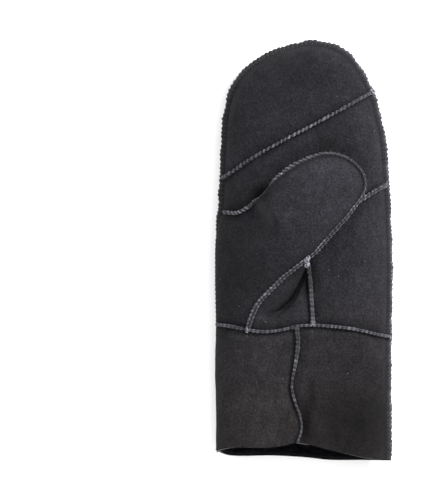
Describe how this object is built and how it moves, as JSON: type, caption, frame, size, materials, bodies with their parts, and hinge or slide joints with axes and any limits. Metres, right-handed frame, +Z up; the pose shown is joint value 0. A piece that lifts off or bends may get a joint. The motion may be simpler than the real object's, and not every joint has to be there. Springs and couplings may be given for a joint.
{
  "type": "leather mitten",
  "caption": "Sheepskin mitten for the left hand, suede outside and wool inside, with outstanding overcast seams, lying palm up with its thumb across the palm.",
  "frame": {"origin": "on the surface it lies on, under the middle of its outline", "axes": "+Z up out of the palm, +Y from the cuff to the fingertips, +X to the right in the picture, the side away from the thumb's root"},
  "size_m": [0.1312, 0.3084, 0.0609],
  "materials": {
    "suede": "napped suede",
    "wool": "curly wool pile",
    "seam_edge": "cut leather edges overcast with thread",
    "thread": "twisted sewing thread"
  },
  "bodies": {
    "root": {"palm_tip_panel": "suede", "palm_middle_panel": "suede", "palm_heel_panel": "suede", "thumb_front_panel": "suede", "thumb_inner_panel": "suede", "back_left_panel": "suede", "back_right_panel": "suede", "cuff_wrap_panel": "suede", "cuff_palm_panel": "suede", "cuff_fleece": "wool", "side_seam": "seam_edge", "palm_upper_seam": "seam_edge", "palm_lower_seam": "seam_edge", "thumb_seam": "seam_edge", "thumb_base_seam": "seam_edge", "crotch_seam": "seam_edge", "back_centre_seam": "seam_edge", "waist_seam": "seam_edge", "cuff_palm_seam": "seam_edge", "cuff_side_seam": "seam_edge"}
  },
  "joints": []
}
